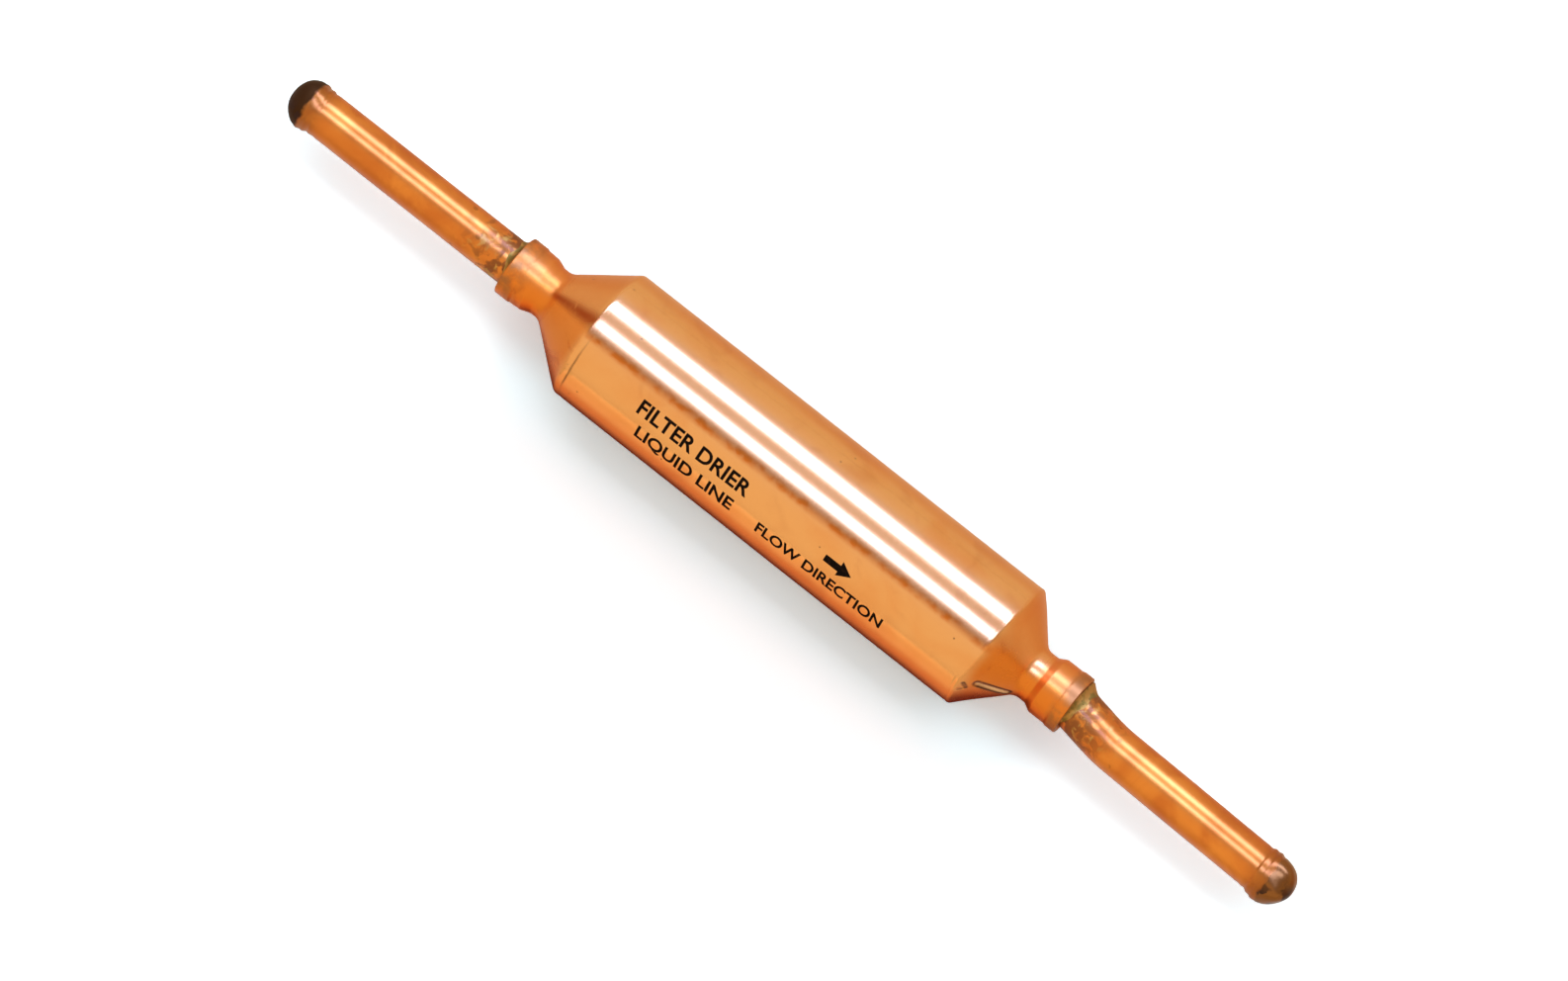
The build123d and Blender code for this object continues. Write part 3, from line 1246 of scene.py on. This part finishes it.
@dataclass
class BrazeRing(TurnedPiece):
    """Braze round one stub, heavy on one side of the mouth and short of it on the other."""

    seat: Seat
    length: float
    full_reach: float
    short_reach: float
    heavy_side: float
    bends: tuple[Bend, ...] = ()
    offset: float = 0.3 * MM
    bell_depth: float = 1.4 * MM
    retreat: float = 1.25 * MM
    bite: float = 0.03 * MM
    skin: float = 0.04 * MM
    hollow: float = 2.2
    phase: float = 0.0

    def depart(self, along: Grid, angle: Grid, radius: Grid) -> Grids:
        """Draws the braze up the heavy side, and lets it sink on the other.

        Args:
            along: each place's distance along the route.
            angle: its angle round it.
            radius: its radius.

        Returns:
            The shift along the route, the growth of the radius and the shift towards +Y.
        """
        rim, stub = self.seat.rim, self.seat.stub_radius
        heavy = smooth(0.5 + 0.5 * np.cos(turn_between(angle, self.heavy_side)), 0.12, 0.62)
        lumps = np.sin(5 * angle + self.phase) * 0.07 + np.sin(8 * angle + 2.1 + self.phase) * 0.04
        share = np.clip((radius - stub) / (self.full_reach - stub), 0.0, 1.0)
        reach = self.short_reach + (self.full_reach - self.short_reach) * heavy
        growth = share * (reach - self.full_reach) + share * lumps * 0.8 * MM
        sunk = (1 - heavy) * self.retreat * smooth(along, rim - self.bell_depth, rim)
        shift = lumps * 3 * MM * smooth(along, rim, rim + self.length) - sunk
        return shift, growth, np.full_like(growth, self.offset)

    def build(self, finish: Finish) -> None:
        """Builds the braze.

        Args:
            finish: its material.
        """
        rim, stub = self.seat.rim, self.seat.stub_radius
        start = rim - self.bell_depth
        toe = rim + self.length
        rise = self.full_reach - stub
        shares = np.linspace(0.0, 1.0, 15)
        slope = [
            Corner(rim + self.length * s, stub + self.skin + rise * (1 - s) ** self.hollow) for s in shares
        ]
        corners = [
            Corner(toe, stub - self.bite, 0.0, 0.5 * MM),
            Corner(start, stub - self.bite, 0.0, 0.1 * MM),
            Corner(start, self.seat.socket_bore, 0.0, 0.3 * MM),
            Corner(rim - 0.35 * MM, self.full_reach - 0.25 * MM, 0.0, 0.2 * MM),
            *slope,
        ]
        route = Route(self.seat.outward, self.bends)
        self.turn(corners, finish, "braze", segments=144, route=route)


# ---- Filling ----


@dataclass
class WireScreen:
    """A disc of plain-woven bronze wire in a pressed border."""

    name: str
    node: str
    pitch: float = 1.2 * MM
    border: float = 0.9 * MM
    stations: int = 110
    wire_sides: int = 5
    border_sides: int = 96

    def build(self, finish: Finish) -> None:
        """Builds the screen in place of its CAD node.

        Args:
            finish: its material.
        """
        low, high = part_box(self.node)
        g = Pattern(self.name)
        radius = g.size("Radius", (high.y - low.y) / 2)
        pitch = g.size("Pitch", self.pitch)
        wire = g.size("Wire", (high.x - low.x) / 2)
        border = g.size("Border", self.border)
        reach = radius - border / 2
        rows = g.maths("FLOOR", reach / pitch) * 2 + 1
        straight = g.part("CurvePrimitiveLine", {"Start": (-1, 0, 0), "End": (1, 0, 0)})
        fine = g.part("ResampleCurve", {0: straight, "Count": self.stations})
        first = g.vector(0.0, pitch * (rows - 1) * -0.5, 0.0)
        steps = {"Count": rows, "Start Location": first, "Offset": g.vector(0.0, pitch, 0.0)}
        laid = {0: g.part("MeshLine", steps), "Instance": fine}
        wires = g.part("RealizeInstances", {0: g.part("InstanceOnPoints", laid)})
        share, row, _ = g.split(g.shade("GeometryNodeInputPosition", {}, {}))
        along = share * g.maths("SQRT", g.maths("MAXIMUM", reach * reach - row * row, 0.0))
        rise = g.maths("COSINE", (along + row) / pitch * pi) * wire / 2
        section = g.part("CurvePrimitiveCircle", {"Resolution": self.wire_sides, "Radius": wire / 2})
        weave = []
        for side, turn in ((1.0, 0.0), (-1.0, pi / 2)):
            woven = {0: wires, "Position": g.vector(along, row, rise * side)}
            drawn = {0: g.part("SetPosition", woven), 1: section, "Fill Caps": True}
            crossed = {0: g.part("CurveToMesh", drawn), "Rotation": (0.0, 0.0, turn)}
            weave.append(g.part("Transform", crossed))
        hoop = g.part("CurvePrimitiveCircle", {"Resolution": self.border_sides, "Radius": reach})
        strip = {"Width": border, "Height": wire * 2}
        pressed = g.part("CurvePrimitiveQuadrilateral", strip)
        rim = g.part("CurveToMesh", {0: hoop, 1: pressed})
        mesh = g.mesh(*weave, rim, place=(low + high) / 2)
        finished(self.name, mesh, finish, self.node, turn_out=True)


@dataclass
class FeltPad(TurnedPiece):
    """A soft felt pad, a little crowned, between a screen and the beads."""

    edge_rounding: float = 0.9 * MM
    slack: float = 0.05 * MM

    def depart(self, along: Grid, angle: Grid, radius: Grid) -> Grids:
        """Makes the pad's faces lumpy and its edge uneven.

        Args:
            along: each place's distance along the route.
            angle: its angle round it.
            radius: its radius.

        Returns:
            The shift along the route, the growth of the radius and the shift towards +Y.
        """
        lumps = np.sin(radius / MM * 1.1 + 3 * angle) + np.sin(radius / MM * 0.7 - 5 * angle + along / MM)
        shift = lumps * 0.5 * self.slack * smooth(radius, 0.0, 3 * MM)
        growth = (np.sin(7 * angle) + np.sin(13 * angle + 1.0)) * 0.5 * self.slack * np.ones_like(radius)
        return shift, growth, np.zeros_like(growth)

    def build(self, finish: Finish) -> None:
        """Builds the pad.

        Args:
            finish: its material.
        """
        low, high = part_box(self.node)
        start, end = low.x + self.slack, high.x - self.slack
        radius = (high.y - low.y) / 2 - self.slack
        corners = [
            Corner(start, 0.0, 0.0, 1.0 * MM),
            Corner(start, radius, self.edge_rounding, 1.0 * MM),
            Corner(end, radius, self.edge_rounding, 1.0 * MM),
            Corner(end, 0.0, 0.0, 4.0 * MM),
        ]
        self.turn(corners, finish, "felt", segments=96)


@dataclass
class BeadBed:
    """The bed of desiccant beads, packed between the two pads."""

    name: str
    node: str
    bead_radius: float = 1.1 * MM
    spacing: float = 1.95 * MM
    smallest: float = 0.84
    tries: float = 4e6
    seed: int = 7

    def build(self, finish: Finish) -> None:
        """Builds the bed in place of its CAD node.

        Args:
            finish: its material.
        """
        low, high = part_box(self.node)
        g = Pattern(self.name)
        bead = g.size("Bead Radius", self.bead_radius)
        spacing = g.size("Spacing", self.spacing)
        radius = g.size("Radius", (high.y - low.y) / 2) - bead
        length = g.size("Length", high.x - low.x) - bead * 2
        drum = {"Vertices": 64, "Side Segments": 1, "Radius": radius, "Depth": length}
        skin = g.part("MeshCylinder", drum)
        packing = {"Mesh": skin, "Distance Min": spacing, "Density Max": self.tries, "Seed": self.seed}
        points = g.part("DistributePointsOnFaces", packing, distribute_method="POISSON")
        ball = g.part("MeshIcoSphere", {"Radius": bead, "Subdivisions": 2})
        sizes = g.shade("FunctionNodeRandomValue", {}, {2: self.smallest, 3: 1.0, "Seed": self.seed}, 1)
        beads = g.part("InstanceOnPoints", {0: points, "Instance": ball, "Scale": sizes})
        core = g.part("MeshCylinder", drum | {"Radius": radius - bead * 0.4})
        mesh = g.mesh(beads, core, place=(low + high) / 2)
        finished(self.name, mesh, finish, self.node, turn_out=True)


# ---- Printed marks ----


@dataclass
class Marking:
    """A line of print or an arrow, as a skin of ink that follows the body."""

    name: str
    shell: Shell
    along: float
    angle: float
    height: float
    words: str = ""
    capital_share: float = 0.7
    boldness: float = 0.034
    thickness: float = 0.024 * MM
    slice_height: float = 0.3 * MM
    arrow_length: float = 6.5 * MM
    arrow_head: float = 2.9 * MM
    arrow_shaft: float = 1.5 * MM

    def outline(self) -> bpy.types.Mesh:
        """Makes the flat print.

        Returns:
            A mesh with X the way it reads and Z out of the body.
        """
        if self.words:
            text = bpy.data.curves.new(self.name, "FONT")
            text.body = self.words
            text.size = self.height / self.capital_share
            text.offset = self.height * self.boldness
            text.extrude = self.thickness / 2
            text.resolution_u = 4
            carrier = placed(self.name, text)
            bpy.context.view_layer.update()
            mesh = bpy.data.meshes.new_from_object(carrier)
            bpy.data.objects.remove(carrier)
            return mesh
        neck, tip = self.arrow_length - self.arrow_head, self.arrow_length
        half, shaft, deep = self.height / 2, self.arrow_shaft / 2, self.thickness / 2
        lower = [(0, -shaft), (neck, -shaft), (neck, -half)]
        ring = [*lower, (tip, 0), *((x, -y) for x, y in reversed(lower))]
        count = len(ring)
        places = [(x, y, z) for z in (-deep, deep) for x, y in ring]
        walls = [(i, (i + 1) % count, count + (i + 1) % count, count + i) for i in range(count)]
        ends = [tuple(range(count))[::-1], tuple(range(count, 2 * count))]
        return mesh_of(self.name, places, [*walls, *ends])

    def build(self, finish: Finish) -> None:
        """Wraps the flat print on the body.

        Args:
            finish: its material.
        """
        mesh = self.outline()
        slicing = bmesh.new()
        slicing.from_mesh(mesh)
        bmesh.ops.remove_doubles(slicing, verts=slicing.verts, dist=MERGE_DISTANCE)
        heights = [vertex.co.y for vertex in slicing.verts]
        low = min(heights)
        for step in range(1, int((max(heights) - low) / self.slice_height) + 1):
            geometry = [*slicing.verts, *slicing.edges, *slicing.faces]
            level = (0.0, low + step * self.slice_height, 0.0)
            bmesh.ops.bisect_plane(slicing, geom=geometry, plane_co=level, plane_no=(0.0, 1.0, 0.0))
        radius = self.shell.outlet.seat.body_radius
        for vertex in slicing.verts:
            along = self.along + vertex.co.x
            angle = self.angle - vertex.co.y / radius
            place = np.array([[along]]), np.array([[angle]]), np.array([[radius]])
            shift, growth, sideways = (float(part[0, 0]) for part in self.shell.depart(*place))
            reach = radius + growth + vertex.co.z + self.thickness / 4
            vertex.co = (along + shift, reach * cos(angle) + sideways, reach * sin(angle))
        slicing.to_mesh(mesh)
        slicing.free()
        finished(self.name, mesh, finish, turn_out=True)


# ---- Light, floor and camera ----


class Reach(Enum):
    """Which surfaces a softbox lights."""

    MATT = "matt"
    GLOSS = "gloss"


@dataclass(frozen=True)
class Softbox:
    """A long softbox over the part and parallel to its axis."""

    name: str
    lean: float
    spread: float
    radiance: float
    reach: Reach
    distance: float = 1.2
    length: float = 2.6
    tint: Colour = (1.0, 1.0, 1.0)

    def hang(self) -> None:
        """Adds the lamp. Lean is its angle from overhead towards -Y, and spread its width in angle."""
        width = 2 * self.distance * math.tan(self.spread / 2)
        lamp = bpy.data.lights.new(self.name, "AREA")
        lamp.shape = "RECTANGLE"
        lamp.size, lamp.size_y = width, self.length
        lamp.energy = self.radiance * WATTS_PER_RADIANCE * width * self.length
        lamp.color = self.tint
        holder = placed(self.name, lamp)
        direction = Vector((0.0, -sin(self.lean), cos(self.lean)))
        across = Vector((0.0, cos(self.lean), sin(self.lean)))
        along = direction.cross(across)
        holder.matrix_world = facing(across, along, direction, direction * self.distance)
        holder.visible_camera = False
        holder.visible_diffuse = self.reach is Reach.MATT
        holder.visible_glossy = self.reach is Reach.GLOSS
        log.info("softbox %s hung", self.name)


@dataclass(frozen=True)
class Studio:
    """A white table, soft light and a long lens."""

    resting_height: float
    azimuth: float = radians(38.776)
    elevation: float = radians(79.0)
    image_width: int = 1586
    pixels_per_metre: float = 5237.6
    centre_offset: tuple[float, float] = (13.8, -0.6)
    lens: float = 250.0
    sensor: float = 36.0
    cool: Colour = (0.14, 0.25, 0.9)
    ambient: float = 0.78
    sky_gap: float = 0.80
    sky_panel: float = 0.48
    sky_far_side: float = 0.30
    sky_dip: float = 0.42
    under_body: tuple[float, float] = (74 * MM, 54 * MM)
    contact: tuple[float, float] = (0.0, 10 * MM)
    table_half: float = 3.0
    table_white: Colour = (0.82, 0.82, 0.82)
    # How bright the table is where the camera sees it: lifted past white, by amounts painted to vary round
    # the part.
    table_seen: Colour = (1.63, 1.82, 1.89)
    table_beside: Colour = (1.27, 1.31, 1.33)
    table_under: Colour = (1.33, 1.66, 1.77)
    # The table's colours where metal mirrors it, painted with shadow, copper glow and tint beside the part.
    table_mirrored: Colour = (1.0, 0.97, 0.90)
    table_horizon: Colour = (1.62, 1.50, 1.40)
    table_open: Colour = (1.26, 1.00, 0.82)
    table_painted_glow: Colour = (0.98, 0.48, 0.26)
    table_shaded: Colour = (0.20, 0.04, 0.04)
    table_far_side: Colour = (0.90, 0.66, 0.40)

    def light(self) -> None:
        """Hangs the softboxes, and a plain sky that is banded where metal mirrors it."""
        bpy.context.scene.view_settings.view_transform = "Standard"
        world = bpy.data.worlds.new("studio")
        bpy.context.scene.world = world
        r = Recipe(world, "World")
        camera, gloss = r.ray("Is Camera Ray"), r.ray("Is Glossy Ray")
        lean = r.maths("ARCTAN2", 0.0 - r.y, r.z)
        panel = lean.band(radians(12), radians(30)) * (1.0 - lean.band(1.3, 1.75) * 0.4)
        far_side = lean.band(radians(-52), radians(-68))
        dip = lean.near(radians(13), radians(22))
        mirrored = self.sky_gap + panel * self.sky_panel + far_side * self.sky_far_side - dip * self.sky_dip
        strength = camera + gloss * mirrored + (1.0 - camera - gloss) * self.ambient
        r.end("ShaderNodeBackground", {"Strength": strength})
        for box in (
            Softbox("high_band", radians(-39.2), radians(18.0), 20.0, Reach.GLOSS, tint=self.cool),
            Softbox("overhead_band", radians(-2.1), radians(13), 20.0, Reach.GLOSS, tint=self.cool),
            Softbox("key", radians(-22), radians(24), 1.1, Reach.MATT),
        ):
            box.hang()

    def lay_table(self) -> None:
        """Adds the white table that the part lies on, with painted light and shade: a darker side in the
        part's shadow and a painted copper glow where metal mirrors it, and a painted brightness that varies
        round the part where the camera sees it.
        """
        r = Recipe.named("white_table")
        camera, gloss = r.ray("Is Camera Ray"), r.ray("Is Glossy Ray")
        # Where metal mirrors the table, it is painted: a painted shadow and a painted copper glow beside
        # the body on the -Y side, a painted brighter floor past the body's ends, and a painted darker,
        # warmer tint on the +Y side.
        aside = 0.0 - r.y
        by_body = abs(r.x).band(*self.under_body)
        near_side = aside.band(*self.contact)
        warmed = aside.band(56 * MM, 28 * MM) * near_side * by_body
        shaded = aside.band(30 * MM, 15 * MM) * near_side * by_body
        opened = abs(r.x + aside * 0.12).band(*self.under_body) * near_side
        open_colour = r.mix(aside.band(300 * MM, 90 * MM), self.table_horizon, self.table_open)
        beyond = r.y.band(110 * MM, 24 * MM) * r.y.band(*self.contact)
        mirrored = r.layered(
            self.table_mirrored, (opened, open_colour), (warmed, self.table_painted_glow),
            (shaded, self.table_shaded), (beyond, self.table_far_side),
        )
        # Where the camera sees the table, its lift is painted: less beside the body, so that its shadow
        # stays, more past its ends, which washes out the stubs' shadows, and cooler under the body, against
        # the copper's orange bounce.
        under = by_body * abs(r.y).band(28 * MM, 12 * MM)
        seen = r.layered(self.table_seen, (by_body, self.table_beside), (under, self.table_under))
        colour = r.layered(self.table_white, (camera, seen), (gloss, mirrored))
        finish = r.end("ShaderNodeBsdfDiffuse", {"Color": colour})
        half, height = self.table_half, self.resting_height
        corners = [(x * half, y * half, height) for x, y in ((-1, -1), (1, -1), (1, 1), (-1, 1))]
        mesh = mesh_of("table", corners, [(0, 1, 2, 3)])
        mesh.materials.append(finish)
        placed("table", mesh)

    def place_camera(self) -> None:
        """Adds the camera, looking down on the part from its own side."""
        camera = bpy.data.cameras.new("camera")
        camera.lens = self.lens
        camera.sensor_width = self.sensor
        camera.clip_end = 20.0
        level = cos(self.elevation)
        right = Vector((cos(self.azimuth), sin(self.azimuth), 0.0))
        back = Vector((right.y * level, -right.x * level, sin(self.elevation)))
        up = back.cross(right)
        distance = self.lens / self.sensor * self.image_width / self.pixels_per_metre
        aside, above = (pixels / self.pixels_per_metre for pixels in self.centre_offset)
        target = -right * aside + up * above
        holder = placed("camera", camera)
        holder.matrix_world = facing(right, up, back, target + back * distance)
        bpy.context.scene.camera = holder


def main() -> None:
    """Builds the drier's pieces in order, then the studio round them."""
    logging.basicConfig(level=logging.INFO, format="%(message)s")
    low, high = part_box("shell")
    inlet_seat = Seat(-1, -low.x, -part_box("inlet_stub_tube")[0].x)
    outlet_seat = Seat(1, high.x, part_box("outlet_stub_tube")[1].x)
    inlet_end = SpunEnd(
        seat=inlet_seat, cone_angle=radians(38), corner_rounding=1.4 * MM, neck_radius=5.45 * MM,
        neck_length=1.85 * MM, flare_length=2.3 * MM, socket_length=5.9 * MM, band_length=3.2 * MM,
        shoulder_rounding=1.4 * MM,
    )
    outlet_end = SpunEnd(
        seat=outlet_seat, cone_angle=radians(47), corner_rounding=0.9 * MM, neck_radius=5.4 * MM,
        neck_length=2.6 * MM, flare_length=1.6 * MM, socket_length=6.4 * MM, band_length=2.3 * MM,
        shoulder_rounding=0.7 * MM,
    )
    scars = (
        Scar((51.6 * MM, 2.49, 11.6 * MM), (56.6 * MM, 2.86, 6.4 * MM), 1.3 * MM, 0.22 * MM, 0.9),
        Scar((49.6 * MM, 2.50, 13.8 * MM), (50.3 * MM, 2.60, 13.0 * MM), 0.8 * MM, 0.16 * MM, 0.3),
        Scar((50.3 * MM, 2.60, 13.0 * MM), (49.4 * MM, 2.66, 13.9 * MM), 0.6 * MM, 0.12 * MM, 0.0),
    )
    shell = Shell("spun_shell", "shell", inlet_end, outlet_end, scars=scars)
    shell.build(SpunCopper(scars=scars).make())

    lean = (
        Bend(outlet_seat.rim - 1.0 * MM, 2.4 * MM, -radians(9.8)),
        Bend(outlet_seat.rim + 6.4 * MM, 7.0 * MM, radians(8.5)),
    )
    inlet_copper = StubCopper(
        "inlet_stub_copper", -inlet_seat.rim, -inlet_seat.tip, (0.060, 0.019, 0.0028), 0.9, 4.9 * MM
    )
    outlet_copper = StubCopper(
        "outlet_stub_copper", outlet_seat.rim, outlet_seat.tip, (0.26, 0.085, 0.016), 1.0, 5.6 * MM,
        scale_roughness=-0.04,
    )
    inlet_stub = StubTube(
        "inlet_stub", "inlet_stub_tube", inlet_seat, inlet_end.socket_start, 2.6 * MM, 0.1 * MM,
        dome_length=4.4 * MM,
    )
    outlet_stub = StubTube(
        "outlet_stub", "outlet_stub_tube", outlet_seat, outlet_end.socket_start, 2.0 * MM, 1.0 * MM,
        bends=lean, phase=1.7, knocks=0.22 * MM,
    )
    inlet_stub.build(inlet_copper.make())
    outlet_stub.build(outlet_copper.make())

    braze = BrazeMetal().make()
    inlet_ring = BrazeRing(
        "inlet_braze_metal", "inlet_braze", inlet_seat, 1.2 * MM, 5.9 * MM, 4.85 * MM, heavy_side=0.4
    )
    outlet_ring = BrazeRing(
        "outlet_braze_metal", "outlet_braze", outlet_seat, 1.8 * MM, 6.0 * MM, 4.85 * MM, heavy_side=0.7,
        bends=lean, phase=0.8,
    )
    inlet_ring.build(braze)
    outlet_ring.build(braze)

    wire, felt = BronzeWire().make(), GlassFelt().make()
    for end in ("inlet", "outlet"):
        WireScreen(f"{end}_woven_screen", f"{end}_screen").build(wire)
        FeltPad(f"{end}_soft_pad", f"{end}_felt_pad").build(felt)
    BeadBed("bead_bed", "desiccant_bed").build(DriedBeads().make())

    ink = MarkingInk().make()
    upper, lower = radians(130), radians(150.5)
    Marking("title_print", shell, -32.8 * MM, upper, 3.2 * MM, "FILTER DRIER").build(ink)
    Marking("line_print", shell, -30.8 * MM, lower, 3.0 * MM, "LIQUID LINE").build(ink)
    Marking("flow_print", shell, -1.0 * MM, lower, 2.6 * MM, "FLOW DIRECTION").build(ink)
    Marking("flow_arrow", shell, 13.6 * MM, upper - 0.04, 3.5 * MM).build(ink)

    studio = Studio(resting_height=cad_box[0][2])
    studio.light()
    studio.lay_table()
    studio.place_camera()


if __name__ == "__main__":
    main()
